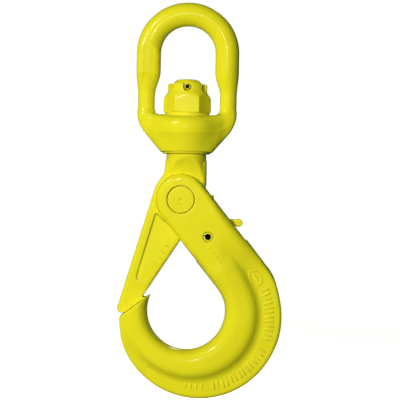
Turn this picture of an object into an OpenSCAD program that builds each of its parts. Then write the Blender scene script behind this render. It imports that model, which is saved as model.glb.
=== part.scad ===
// Self-locking safety hook with a swivel bow, in millimetres.
// X runs across the hook, Z is up, and the front faces -Y.
// The origin is the saddle inside the bow's crown, on the swivel axis.

/* [Bow] */
// Inner radius of the bow's crown
crown_r = 18.5; // [17.5:0.5:20]
// Diameter of the bow's stock at the crown
stock_d = 16; // [15:0.5:16.5]
// Diameter of the bow's lower legs
leg_d = 11.4; // [10:0.2:12]
// Distance between the centrelines of the lower legs
leg_pitch = 55.4; // [54:0.2:57]
// Depth of the straight thick legs below the crown's saddle
leg_thick_end = 31; // [28:1:33]
// Depth at which the legs have narrowed
leg_thin_start = 46; // [42:1:50]
// Depth of the flat top of the base
base_depth = 60; // [59:0.5:61]
// Depth of the bottom of the boss
boss_bottom = 85; // [84:0.5:85.5]
// Largest radius of the boss
boss_r = 22.8; // [22:0.2:24]
// Radius of the boss's bottom face
boss_foot_r = 17.4; // [16.5:0.2:18]
// Radius of the base's shoulders, seen from the front
shoulder_r = 19.6; // [18:0.2:21]
// Thickness of the shoulders from front to back
shoulder_t = 17; // [14:0.5:20]
// How far the flat pad on the left leg stands in front of the stock
pad_proud = 0.2; // [0.1:0.1:0.4]
// Width of the pad's flat
pad_w = 9; // [8:0.5:9.5]

/* [Nut and stem] */
// Diameter of the stem
stem_d = 20; // [18:1:20]
// Depth of the stem's top
stem_top = 36.2; // [35:0.2:37]
// Height of the stem's chamfer
stem_chamfer = 2.8; // [1.5:0.1:3]
// Width across the nut's flats
nut_af = 28; // [27:0.5:28.5]
// Depth of the castle's top
castle_top = 39; // [38:0.5:40]
// Diameter of the castle
castle_d = 26.6; // [25:0.2:27]
// Depth of the hexagon's top
hex_top = 45.3; // [44.5:0.1:46]
// Width of a castle slot
castle_slot = 5.3; // [5:0.1:6]
// Number of castle slots
castle_slots = 6; // [6:6:6]
// Depth of the nut's spring pin
nut_pin_depth = 41.6; // [41:0.1:42]
// Outer diameter of the nut's spring pin
nut_pin_d = 4.5; // [3.5:0.1:4.8]

/* [Swivel bearing] */
// Diameter of a bearing ball
ball_d = 4; // [3.8:0.1:4.1]
// Number of bearing balls
ball_n = 12; // [10:1:14]
// Radius of the circle of ball centres
ball_ring_r = 12.6; // [12.5:0.1:12.7]
// Outer radius of the races
race_r = 15; // [14.8:0.1:15.2]
// Thickness of a race
race_t = 3.6; // [3.2:0.1:3.7]
// How far the upper race stands above the base
race_proud = 1.3; // [1:0.1:1.6]
// Distance between the two races
race_gap = 2.4; // [2.2:0.1:2.6]
// Outer diameter of the bronze bush
bush_d = 24; // [23:0.5:25]

/* [Neck and latch arm] */
// Diameter of the neck
neck_d = 27; // [26:0.5:28]
// Depth of the neck's shoulder
neck_top = 86.2; // [86.1:0.1:87]
// Depth at which the neck starts to flatten
facet_top = 88.7; // [87.5:0.1:90]
// Depth at which the neck is as flat as the hub
facet_end = 99; // [96:0.5:101]
// Thickness of the hub and the latch arm
hub_t = 13.6; // [12:0.1:13.8]
// Radius of the hub
hub_r = 16.8; // [16.4:0.1:17]
// Radius of the latch's rounded tip
latch_tip_r = 3.2; // [2.5:0.1:3.4]
// Depth of the recessed panel in the latch arm
panel_depth = 0.8; // [0.4:0.1:1.5]

/* [Hook body] */
// Offset of the load pin from the swivel axis
pin_x = -3; // [-4:0.1:-2]
// Depth of the load pin
pin_z = 117; // [116.5:0.1:117.5]
// Diameter of the load pin
load_pin_d = 18.8; // [16:0.1:20]
// Width of the hook's bar
bar_w = 34.5; // [34:0.1:35]
// Offset of the bowl's centre from the swivel axis
bowl_x = 1.8; // [1:0.1:3]
// Depth of the bowl's centre
bowl_z = 191.5; // [190.5:0.1:192.5]
// Radius of the saddle inside the bowl
saddle_r = 26.2; // [25.5:0.1:26.6]
// Sideways offset of the centre of the hook's back
back_x = 11; // [10:0.1:12]
// Depth of the centre of the hook's back
back_z = 195.2; // [194:0.1:196]
// Radius of the hook's back
back_r = 55.1; // [54:0.1:56]
// Thickness over the cheeks
body_t = 28; // [26:0.5:30]
// Thickness of the rounded bead around the bowl
bead_t = 24; // [22:0.5:26]
// Thickness of the outer flange
flange_t = 13; // [11:0.5:15]
// Width of the slot between the cheeks
slot_w = 14.4; // [14.2:0.1:15]
// Length of the cheeks along the bar, from the load pin
cheek_l = 57; // [52:1:58]

/* [Trigger] */
// Width of the trigger
trigger_t = 8; // [7:0.1:8.2]
// Outer diameter of the trigger's spring pin
trigger_pin_d = 6.2; // [5:0.1:6.4]
// Radius of the trigger's boss
trigger_boss_r = 6.6; // [6:0.1:6.8]
// Diameter of the spring wire
wire_d = 0.9; // [0.7:0.05:0.9]

/* [Hidden] */
balls = [for (i = [1:ball_n]) str("bearing_ball_", i < 10 ? "0" : "", i)];
$fn = 96;

// Paint and metal colours
paint = [0.86, 0.83, 0.12];
steel = [0.62, 0.63, 0.65];
brass = [0.75, 0.6, 0.25];
bronze = [0.65, 0.45, 0.25];
dark = [0.12, 0.12, 0.11];

// Clearances
run_gap = 0.05;   // a running fit, on the radius
seat_gap = 0.02;  // a seated fit, on the radius
face_gap = 0.15;  // between faces that slide past each other
eps = 0.5;        // overrun of a cut past the face that it opens

// Bow
stock_r = stock_d / 2;
leg_r = leg_d / 2;
crown_line_r = crown_r + stock_r;
leg_x = leg_pitch / 2;
shoulder_x = leg_x + leg_r;
counterbore_r = race_r + 2 * face_gap;

// Rolled spring pins: wall, slit, the way that the slit faces, and how much shorter they are than their holes
nut_pin_wall = 0.8;
nut_pin_slit = 0.8;
nut_pin_turn = 75;
trigger_pin_wall = 1.3;
trigger_pin_slit = 1.1;
trigger_pin_turn = 155;
pin_short = 1;

// Bearing heights, down from the proud top of the upper race
upper_race_top = -base_depth + race_proud;
upper_race_bottom = upper_race_top - race_t;
ball_z = upper_race_bottom - race_gap / 2;
lower_race_top = upper_race_bottom - race_gap;
lower_race_bottom = lower_race_top - race_t;
bush_r = bush_d / 2;
stem_r = stem_d / 2;
cage_t = 1.2;
groove_gap = 0.08; // between a ball and its groove

// Load pin, bowl and back of the hook, as points in the XZ plane
pin = [pin_x, -pin_z];
bowl = [bowl_x, -bowl_z];
back = [back_x, -back_z];
bar_r = bar_w / 2;

function unit(a) = [cos(a), sin(a)];
function angle_of(v) = atan2(v[1], v[0]);
// Angle of the normal n of a line, where n . v is k and the line lies to the right of v
function normal_angle(v, k) = angle_of(v) + acos(k / norm(v));

// Both long edges of the bar are tangents: the outer one to the back, the inner one to the bowl
outer_a = normal_angle(back - pin, bar_r - back_r);
inner_a = normal_angle(bowl - pin, -bar_r - saddle_r);
bar_a = (outer_a + inner_a) / 2 - 90;

// Latch arm
latch_edge_a = 253.5;  // direction of the arm's outer edge
latch_throat_a = 237.1; // direction of the arm's throat edge
latch_throat_r = 15;    // distance of that edge from the load pin
joint_a = 36.9;         // slope of the joint between the latch and the hook's tip
latch_throat_l = 68.5;  // length of that edge
joint_gap = 0.35;
joint = [bowl_x - saddle_r - 1.1, -bowl_z + 8.3]; // inner end of the joint
latch_reach = 85; // length of the arm's outer edge

// The neck's sides below its shoulder, as points to the left of the neck and one to its right
neck_side = [[0, -91.5], [-1.3, -99.8], [-4.2, -104]];
neck_corner = [-neck_d / 2 - 6.7, -108];
neck_right = [neck_d / 2 + 0.2, -109];

// The latch arm's panel: its distance from the outer edge, its start and its length along that edge,
// and the corners that lie under the hub or past the throat edge
panel_edge = 5.2;
panel_start = 16;
panel_l = 43;
panel_reach = 70;
panel_land = 1; // plain band round the hub
panel_corners = [[3, -3], [4, 12], [10, -30]];

// Trigger, from its pivot
pivot = pin + [18.6, -24.5];
notch_in = 14.3;   // inner wall of the hub's notch, from the load pin
notch_top = 6.4;   // locking face of the notch
notch_bottom = -2; // lower face of the notch
slot_end = 48;     // end of the slot along the bar
web_t = 4;         // wall that closes the slot on the throat's side
web_start = 23;

// Turns a shape drawn in X and Z into a plate of thickness t, centred on the hook's plane
module plate(t) {
    rotate([90, 0, 0])
        linear_extrude(t, center = true)
            children();
}

// A cylinder across the hook's plane, at point p
module cross_cylinder(p, r, t) {
    translate([p[0], 0, p[1]])
        rotate([90, 0, 0])
            cylinder(r = r, h = t, center = true);
}

// A rolled pin across the hook's plane, with its slit facing the given angle
module rolled_pin(p, d, t, wall, slit, slit_a) {
    translate([p[0], 0, p[1]])
        rotate([90, 0, 0])
            difference() {
                cylinder(d = d, h = t, center = true);
                cylinder(d = d - 2 * wall, h = t + 2 * eps, center = true);
                rotate(slit_a)
                    translate([0, -slit / 2, -t / 2 - eps])
                        cube([d, slit, t + 2 * eps]);
            }
}

module ring(r_in, r_out, z_low, z_high) {
    rotate_extrude()
        translate([r_in, z_low])
            square([r_out - r_in, z_high - z_low]);
}

// ---- Bow ----

module bow_leg() {
    taper = leg_thin_start - leg_thick_end;
    shift = leg_x - crown_line_r;
    translate([crown_line_r, 0, -leg_thick_end])
        cylinder(r = stock_r, h = leg_thick_end - crown_r);
    translate([crown_line_r, 0, -leg_thick_end]) {
        sphere(r = stock_r);
        rotate([0, -atan(shift / taper), 0])
            translate([0, 0, -norm([taper, shift])])
                cylinder(r1 = leg_r, r2 = stock_r, h = norm([taper, shift]));
    }
    translate([leg_x, 0, -leg_thin_start])
        sphere(r = leg_r);
    translate([leg_x, 0, -base_depth - leg_r])
        cylinder(r = leg_r, h = base_depth + leg_r - leg_thin_start);
}

module bow_shoulders() {
    slope = 40.7; // of the shoulder's lower edge, from the vertical
    rise = 1;     // of the bulge's centre above the flat top
    top = -base_depth + rise;
    bulge = [shoulder_x - shoulder_r, top];
    foot = bulge + shoulder_r * unit(-slope);
    plate(shoulder_t)
        intersection() {
            union() {
                for (side = [-1, 1])
                    translate([side * bulge[0], bulge[1]])
                        circle(r = shoulder_r);
                polygon([[-foot[0], foot[1]], [-boss_foot_r, -boss_bottom],
                         [boss_foot_r, -boss_bottom], foot]);
                translate([-foot[0], foot[1]])
                    square([2 * foot[0], -base_depth - foot[1]]);
            }
            translate([-shoulder_x, -boss_bottom])
                square([2 * shoulder_x, boss_bottom - base_depth]);
        }
}

module bow_boss() {
    rim = 2.3;
    crease = 12;
    rotate_extrude()
        polygon([[0, -base_depth], [boss_r - rim, -base_depth], [boss_r, -base_depth - rim],
                 [boss_r, -base_depth - crease], [boss_foot_r, -boss_bottom], [0, -boss_bottom]]);
}

// The pad's outline, from the centreline of the left leg
pad_points = [[-5.9, -19], [-1.1, -9.8], [5.9, -16], [5.9, -32], [3, -38], [-4, -38], [-5.9, -34]];

// A raised flat on the front of the left leg. Its sides and ends slope back into the stock.
module bow_pad() {
    front = stock_r + pad_proud;
    back = stock_r - 2.6;
    side = 1.7;
    top = 14;
    bottom = leg_thick_end + 1.4;
    top_run = 5.5;
    bottom_run = 5.6;
    translate([-crown_line_r, 0, 0])
        intersection() {
            translate([0, 0, -crown_r - stock_d])
                linear_extrude(2 * stock_d)
                    polygon([[-pad_w / 2 - side, 0], [-pad_w / 2 - side, -back], [-pad_w / 2, -front],
                             [pad_w / 2, -front], [pad_w / 2 + side, -back], [pad_w / 2 + side, 0]]);
            translate([-stock_r, 0, 0])
                rotate([90, 0, 90])
                    linear_extrude(stock_d)
                        polygon([[0, -top + top_run], [-back, -top + top_run], [-front, -top],
                                 [-front, -bottom], [-back, -bottom - bottom_run],
                                 [0, -bottom - bottom_run]]);
            rotate([90, 0, 0])
                linear_extrude(stock_d)
                    polygon(pad_points);
        }
}

module swivel_bow() {
    color(paint)
        difference() {
            union() {
                translate([0, 0, -crown_r])
                    rotate([90, 0, 0])
                        rotate_extrude(angle = 180)
                            translate([crown_line_r, 0])
                                circle(r = stock_r);
                for (side = [0, 1])
                    mirror([side, 0, 0])
                        bow_leg();
                bow_shoulders();
                bow_boss();
                bow_pad();
            }
            translate([0, 0, lower_race_bottom])
                cylinder(r = counterbore_r, h = -base_depth + eps - lower_race_bottom);
            translate([0, 0, -boss_bottom - eps])
                cylinder(r = bush_r + seat_gap, h = boss_bottom - base_depth);
        }
}

module swivel_bush() {
    color(bronze)
        ring(stem_r + run_gap, bush_r, -boss_bottom, lower_race_bottom - seat_gap);
}

// ---- Thrust bearing ----

module race(z_low, side_r) {
    groove_r = ball_d / 2 + groove_gap;
    difference() {
        ring(side_r, race_r, z_low, z_low + race_t);
        translate([0, 0, ball_z])
            rotate_extrude()
                translate([ball_ring_r, 0])
                    circle(r = groove_r);
    }
}

module bearing_upper_race() {
    color(steel)
        race(upper_race_bottom, stem_r + seat_gap);
}

module bearing_lower_race() {
    color(steel)
        race(lower_race_bottom, stem_r + 2 * run_gap);
}

module at_ball(i) {
    rotate([0, 0, 360 * i / ball_n])
        translate([ball_ring_r, 0, ball_z])
            children();
}

module bearing_ball(i) {
    color(steel)
        at_ball(i)
            sphere(r = ball_d / 2);
}

module bearing_cage() {
    pocket_r = ball_d / 2 + 2 * run_gap;
    color(brass)
        difference() {
            ring(stem_r + 2 * run_gap, race_r - 2 * run_gap, ball_z - cage_t / 2, ball_z + cage_t / 2);
            for (i = [0:ball_n - 1])
                at_ball(i)
                    cylinder(r = pocket_r, h = 2 * cage_t, center = true);
        }
}

// ---- Nut ----

module castle_nut() {
    bottom = upper_race_top + seat_gap;
    corner_r = nut_af / 2 / cos(30);
    chamfer = 3.4;
    step = 0.3; // ledge between the chamfer and the castle
    rim = 1;    // chamfer of the castle's top
    slot_bottom = 5.6;
    color(paint)
        difference() {
            union() {
                intersection() {
                    translate([0, 0, bottom])
                        cylinder(r = corner_r, h = -hex_top - bottom, $fn = 6);
                    translate([0, 0, bottom]) {
                        cylinder(r = corner_r, h = -hex_top - bottom - chamfer);
                        translate([0, 0, -hex_top - bottom - chamfer])
                            cylinder(r1 = corner_r, r2 = castle_d / 2 + step, h = chamfer);
                    }
                }
                translate([0, 0, -hex_top - rim])
                    cylinder(d = castle_d, h = hex_top - castle_top);
                translate([0, 0, -castle_top - rim])
                    cylinder(d1 = castle_d, d2 = castle_d - 2 * rim, h = rim);
            }
            translate([0, 0, bottom - eps])
                cylinder(r = stem_r + seat_gap, h = base_depth);
            for (i = [0:castle_slots / 2 - 1])
                rotate([0, 0, 90 + i * 360 / castle_slots])
                    translate([0, 0, -castle_top - slot_bottom + castle_slot / 2])
                        rotate([0, 90, 0]) {
                            cylinder(d = castle_slot, h = 2 * castle_d, center = true);
                            translate([-slot_bottom, 0, 0])
                                cube([2 * slot_bottom, castle_slot, 2 * castle_d], center = true);
                        }
        }
}

module nut_spring_pin() {
    color(dark)
        rolled_pin([0, -nut_pin_depth], nut_pin_d, castle_d - pin_short,
                   nut_pin_wall, nut_pin_slit, nut_pin_turn);
}

module seal_ring() {
    inset = 1.2; // of the seal's rim from the boss's edge
    color(dark)
        ring(stem_r + 2 * run_gap, boss_foot_r - inset, -neck_top + 2 * run_gap, -boss_bottom - seat_gap);
}

// ---- Stem, neck, hub and latch arm, one forging ----

module stem() {
    translate([0, 0, -neck_top])
        cylinder(r = stem_r, h = neck_top - stem_top - stem_chamfer);
    translate([0, 0, -stem_top - stem_chamfer])
        cylinder(r1 = stem_r, r2 = stem_r - stem_chamfer, h = stem_chamfer);
}

module neck() {
    overlap = 6; // how far the neck runs down into the hub
    low = -facet_end - overlap;
    intersection() {
        translate([0, 0, low])
            cylinder(d = neck_d, h = -neck_top - low);
        rotate([90, 0, 90])
            linear_extrude(2 * neck_d, center = true)
                polygon([for (side = [1, -1], k = [0:3])
                    let (j = side > 0 ? k : 3 - k)
                    [side * [neck_d, neck_d, hub_t, hub_t][j] / 2,
                     [-neck_top, -facet_top, -facet_end, low][j]]]);
    }
}

// The latch arm between its outer edge, its throat edge and the joint with the hook's tip
module latch_outline() {
    left = [for (p = neck_side) [p[0] - neck_d / 2, p[1]]];
    tip_end = neck_corner + latch_reach * unit(latch_edge_a);
    tip = tip_end + latch_tip_r * unit(latch_edge_a + 90);
    joint_in = joint + joint_gap * unit(joint_a + 90);
    seat = tip + latch_tip_r * unit(joint_a - 90);
    throat_top = pin + latch_throat_r * unit(latch_throat_a + 90);
    throat_end = throat_top + latch_throat_l * unit(latch_throat_a);
    translate(pin)
        circle(r = hub_r);
    polygon(concat(left, [neck_corner, tip_end, tip, seat, joint_in, throat_end, throat_top, pin,
                          neck_right, [neck_d / 2, left[0][1]]]));
    translate(tip)
        circle(r = latch_tip_r);
}

// The shallow triangular panel in each face of the latch arm
module panel_outline() {
    across = unit(latch_edge_a + 90);
    start = neck_corner + panel_start * unit(latch_edge_a) + panel_edge * across;
    end = start + panel_l * unit(latch_edge_a);
    inner = pin + latch_throat_r * unit(latch_throat_a + 90) + panel_reach * unit(latch_throat_a);
    polygon([start, end, end + panel_corners[0], inner + panel_corners[1], pin + panel_corners[2], pin]);
}

module latch_arm() {
    color(paint)
        difference() {
            union() {
                stem();
                neck();
                plate(hub_t)
                    latch_outline();
            }
            cross_cylinder(pin, load_pin_d / 2 + run_gap, 2 * hub_t);
            cross_cylinder([0, -nut_pin_depth], nut_pin_d / 2 + seat_gap, 2 * stem_d);
            translate([pin[0] + notch_in, -hub_t, pin[1] + notch_bottom])
                cube([hub_r, 2 * hub_t, notch_top - notch_bottom]);
            for (side = [-1, 1])
                translate([0, side * (hub_t - panel_depth), 0])
                    plate(hub_t)
                        difference() {
                            panel_outline();
                            translate(pin)
                                circle(r = hub_r + panel_land);
                        }
        }
}

module load_pin() {
    chamfer = 0.7;
    r = load_pin_d / 2;
    color(paint)
        translate([pin[0], 0, pin[1]])
            rotate([90, 0, 0])
                rotate_extrude()
                    polygon([[0, -body_t / 2], [r - chamfer, -body_t / 2], [r, -body_t / 2 + chamfer],
                             [r, body_t / 2 - chamfer], [r - chamfer, body_t / 2], [0, body_t / 2]]);
}

// ---- Hook body ----

// The bar's lower end lies a little inside the back and the bead, with a corner in the middle of the bead
outer_inset = 0.8;
inner_inset = 1.5;
bar_foot_a = 10; // direction of that corner from the bowl's centre

// The bar between its two tangents, up to a given distance from the load pin
module bar_outline(length) {
    outer = unit(outer_a);
    inner = unit(inner_a);
    outer_end = back + (back_r - outer_inset) * outer;
    inner_end = bowl + (saddle_r + inner_inset) * inner;
    bead_middle = bowl + (saddle_r + bead_roll / 2) * unit(bar_foot_a);
    intersection() {
        union() {
            translate(pin)
                circle(r = bar_r);
            polygon([pin + bar_r * outer, outer_end, bead_middle, inner_end, pin - bar_r * inner]);
        }
        translate(pin)
            circle(r = length);
    }
}

// Everything above the joint with the latch and on the throat's side of the bar
module throat_outline() {
    inner = unit(inner_a);
    far = 3 * saddle_r;
    margin = 3;
    corner = bowl + (saddle_r + margin) * inner;
    above = joint + margin * unit(joint_a + 90);
    polygon([above - far * unit(joint_a), above, bowl, corner, corner - far * unit(bar_a),
             pin - far * inner - [far, 0]]);
}

// The space that the latch arm's end takes, on the upper side of the joint
module joint_outline() {
    polygon([joint - bead_t * unit(joint_a), joint + bar_r / 2 * unit(joint_a),
             joint + [bar_r / 2, bead_t], joint + [-bead_t, bead_t]]);
}

module back_outline(centre, r, hole_r) {
    difference() {
        translate(centre)
            circle(r = r);
        translate(bowl)
            circle(r = hole_r);
        throat_outline();
    }
}

// The bead's outer edge is an arc that runs off the bowl's centre
bead_shift = [1.2, -0.6];
bead_centre = (bowl + back) / 2 + bead_shift;
bead_r = 43.9;
bead_roll = 17;
bead_step = 5; // how much thinner the bead is at that arc than at its crest

module bead() {
    start = 172;
    overlap = 6; // runs on into the bar
    sweep = 360 + inner_a + overlap - start;
    translate([bowl[0], 0, bowl[1]])
        rotate([90, 0, 0])
            rotate([0, 0, start])
                rotate_extrude(angle = sweep)
                    translate([saddle_r + bead_roll / 2, 0]) {
                        for (side = [-1, 1])
                            translate([0, side * (bead_t - bead_roll) / 2])
                                circle(d = bead_roll);
                        square([bead_roll, bead_t - bead_roll], center = true);
                    }
}

// The slot for the hub and the trigger, open at the top and at the spine
module slot_outline() {
    translate(pin)
        rotate(bar_a)
            polygon([[-bar_w, -bar_w], [web_start, -bar_w], [web_start, -bar_r + web_t],
                     [slot_end, -bar_r + web_t], [slot_end, bar_w], [-bar_w, bar_w]]);
}

module hook_body() {
    color(paint)
        difference() {
            union() {
                plate(flange_t)
                    back_outline(back, back_r, saddle_r + bead_roll / 2);
                plate(bead_t - bead_step)
                    back_outline(bead_centre, bead_r, saddle_r + bead_roll / 2);
                bead();
                plate(flange_t)
                    bar_outline(pin_z);
                plate(body_t)
                    bar_outline(cheek_l);
            }
            plate(2 * body_t)
                joint_outline();
            plate(slot_w)
                slot_outline();
            cross_cylinder(pin, load_pin_d / 2 + seat_gap, 2 * body_t);
            cross_cylinder(pivot, trigger_pin_d / 2 + seat_gap, 2 * body_t);
        }
}

// ---- Trigger ----

// The pawl's nose from the load pin, the thumb lug from the pivot, and the corners between them
nose = pin + [14.84, 3.3];
nose_top = [7.2, 0];
nose_back = [7.4, -5];
nose_front = [0, -2.6];
nose_root = [2.8, -6.2];
lug = pivot + [20.7, 9.6];
lug_r = 2.5;
back_edge = [[6, 16], [10, 12]];
lug_root = [12, 7.2];
front_edge = [-3.5, 10];
boss_span = [-60, 240]; // directions where the outline meets the boss

module trigger_outline() {
    inset = 0.05; // keeps the outline's corners inside the round lug
    root_r = trigger_boss_r - 1;
    translate(lug)
        circle(r = lug_r);
    polygon([nose, nose + nose_top, nose + nose_back, pivot + back_edge[0], pivot + back_edge[1],
             lug + [0, lug_r - inset], lug - [0, lug_r - inset], pivot + lug_root,
             pivot + root_r * unit(boss_span[0]), pivot + root_r * unit(boss_span[1]),
             pivot + front_edge, nose + nose_root, nose + nose_front]);
}

module trigger() {
    color(paint)
        difference() {
            union() {
                plate(trigger_t)
                    trigger_outline();
                cross_cylinder(pivot, trigger_boss_r, trigger_t);
            }
            cross_cylinder(pivot, trigger_pin_d / 2 + run_gap, 2 * trigger_t);
        }
}

module trigger_pin() {
    color(paint)
        rolled_pin(pivot, trigger_pin_d, body_t - pin_short,
                   trigger_pin_wall, trigger_pin_slit, trigger_pin_turn);
}

// Torsion spring beside the trigger: two turns, a leg behind the pawl and a leg on the slot's wall
coil_r = 4.3;
coil_turns = 2 + 1 / 12;
coil_pitch = 1.06 * wire_d;
coil_y = trigger_t / 2 + face_gap + wire_d / 2;
coil_steps = 40;
wall_leg = 14;

function coil_point(turn) =
    [coil_r * cos(360 * turn), coil_y + coil_pitch * turn, -coil_r * sin(360 * turn)];
pawl_leg = [[5.8, trigger_t / 2 - 1, 20.6], [6.1, coil_y, 17.6]]; // behind the pawl
spring_path = concat(
    pawl_leg,
    [for (i = [0:coil_steps]) coil_point(coil_turns * i / coil_steps)],
    [coil_point(coil_turns)
     + wall_leg * [-sin(360 * coil_turns), 0, -cos(360 * coil_turns)]]);

function direction(v) = v / norm(v);
function along(path, i) =
    direction(path[min(i + 1, len(path) - 1)] - path[max(i - 1, 0)]);

// A round wire swept along a path that keeps nearly to the XZ plane
module wire(path, r, sides = 8) {
    last = len(path) - 1;
    points = [for (i = [0:last], k = [0:sides - 1])
        let (out = direction(cross(along(path, i), [0, 1, 0])),
             up = cross(out, along(path, i)))
        path[i] + r * (cos(360 * k / sides) * out + sin(360 * k / sides) * up)];
    skin = [for (i = [0:last - 1], k = [0:sides - 1])
        let (next = (k + 1) % sides)
        [i * sides + k, i * sides + next, (i + 1) * sides + next, (i + 1) * sides + k]];
    polyhedron(points, concat(
        [[for (k = [sides - 1:-1:0]) k]], skin, [[for (k = [0:sides - 1]) last * sides + k]]));
}

module trigger_spring() {
    color(steel)
        translate([pivot[0], 0, pivot[1]])
            wire(spring_path, wire_d / 2);
}

swivel_bow();
swivel_bush();
bearing_lower_race();
bearing_cage();
bearing_upper_race();
castle_nut();
nut_spring_pin();
seal_ring();
latch_arm();
load_pin();
hook_body();
trigger();
trigger_pin();
trigger_spring();
for (i = [0:ball_n - 1])
    bearing_ball(i);
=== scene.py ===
"""Swivel safety hook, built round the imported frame. Lengths are in mm unless stated otherwise."""
import math
import bmesh
import bpy
import numpy as np
from mathutils import Matrix, Vector


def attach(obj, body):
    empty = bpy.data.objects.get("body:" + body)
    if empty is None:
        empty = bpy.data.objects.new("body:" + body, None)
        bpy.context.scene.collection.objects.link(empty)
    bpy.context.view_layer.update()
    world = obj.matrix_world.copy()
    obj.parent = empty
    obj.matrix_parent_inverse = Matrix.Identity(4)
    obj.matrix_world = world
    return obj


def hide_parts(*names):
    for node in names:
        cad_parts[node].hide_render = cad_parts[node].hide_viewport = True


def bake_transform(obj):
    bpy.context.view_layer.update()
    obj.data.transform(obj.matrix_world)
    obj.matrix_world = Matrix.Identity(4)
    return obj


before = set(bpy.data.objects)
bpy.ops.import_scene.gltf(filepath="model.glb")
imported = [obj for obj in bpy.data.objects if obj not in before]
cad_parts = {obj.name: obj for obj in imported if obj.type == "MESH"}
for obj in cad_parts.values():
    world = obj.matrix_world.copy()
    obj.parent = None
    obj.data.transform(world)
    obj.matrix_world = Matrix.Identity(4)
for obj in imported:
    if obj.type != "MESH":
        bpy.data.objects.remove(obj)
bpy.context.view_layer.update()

MM = 0.001
COARSE = 1.0
DIAGONAL = 0.7071

# Points in the XZ plane, heights and radii, as the CAD has them
CROWN = (0.0, -18.5)
CROWN_R, STOCK_R, LEG_R, LEG_X = 26.5, 8.0, 5.7, 27.7
BASE_Z, BOSS_Z, FOOT_R = -60.0, -85.0, 17.4
RACE_FLOOR, BUSH_R, COUNTERBORE_R = -68.3, 12.0, 15.3
NECK_TOP, NECK_R, STEM_R, STEM_TOP = -86.2, 13.5, 10.0, -36.2
NUT_BOTTOM, HEX_TOP, CASTLE_TOP, NUT_PIN = -58.68, -45.3, -39.0, (0.0, -41.6)
HUB_HALF, HUB_R = 6.8, 16.8
PIN, PIN_R = (-3.0, -117.0), 9.4
BAR_R, BAR_A, OUTER_A, INNER_A = 17.25, -51.05, 38.6, 39.3
BOWL, SADDLE_R = (1.8, -191.5), 26.2
BACK, BACK_R = (11.0, -195.2), 55.1
BEAD, BEAD_R, ROLL = (7.6, -193.95), 43.9, 17.0
JOINT, JOINT_A = (-25.5, -183.2), 36.9
PIVOT, PIVOT_R = (15.6, -141.5), 3.1
CHEEK_HALF, RIDGE_HALF, FLANGE_HALF, SLOT_HALF, TRIGGER_HALF = 14.0, 12.0, 6.5, 7.2, 4.0
BALL_Z, BALL_RING, GROOVE_R = -63.5, 12.6, 2.08
RACE_TOP, UPPER_FACE, LOWER_FACE, RACE_R = -58.7, -62.3, -64.7, 15.0
BUSH_TOP, STEM_GAP_R = -68.32, 10.1
COIL_R, WIRE_D, TURNS = 4.3, 0.9, 2 + 1 / 12


# ---------------------------------------------------------------- distance fields

def unit(degrees):
    a = math.radians(degrees)
    return math.cos(a), math.sin(a)


def add(p, q, scale=1.0):
    return p[0] + scale * q[0], p[1] + scale * q[1]


def smin(a, b, k):
    """The smaller of a and b, with a blend as wide as k where they are close."""
    h = np.maximum(k - np.abs(a - b), 0) / k
    return np.minimum(a, b) - h * h * k / 4


def smax(a, b, k):
    return -smin(-a, -b, k)


def ramp(v, start, end):
    """0 at start, 1 at end, smooth between."""
    t = np.clip((v - start) / (end - start), 0, 1)
    return t * t * (3 - 2 * t)


def disc(x, z, centre, r):
    return np.hypot(x - centre[0], z - centre[1]) - r


def beyond(x, z, p, n):
    """Distance past the line through p with the outward normal n."""
    return (x - p[0]) * n[0] + (z - p[1]) * n[1]


def polygon(x, z, points):
    best, inside = None, None
    for (ax, az), (bx, bz) in zip(points, points[1:] + points[:1]):
        ex, ez = bx - ax, bz - az
        t = np.clip(((x - ax) * ex + (z - az) * ez) / (ex * ex + ez * ez), 0, 1)
        d = np.hypot(x - ax - t * ex, z - az - t * ez)
        crossing = ((az > z) != (bz > z)) & (x < ex * (z - az) / (ez if ez else 1e-9) + ax)
        best = d if best is None else np.minimum(best, d)
        inside = crossing if inside is None else inside ^ crossing
    return np.where(inside, -best, best)


def plate(flat, y, half, r):
    """The outline flat made into a plate with its edges rounded to r."""
    a, b = flat + r, np.abs(y) - half + r
    return np.minimum(np.maximum(a, b), 0) + np.hypot(np.maximum(a, 0), np.maximum(b, 0)) - r


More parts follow.
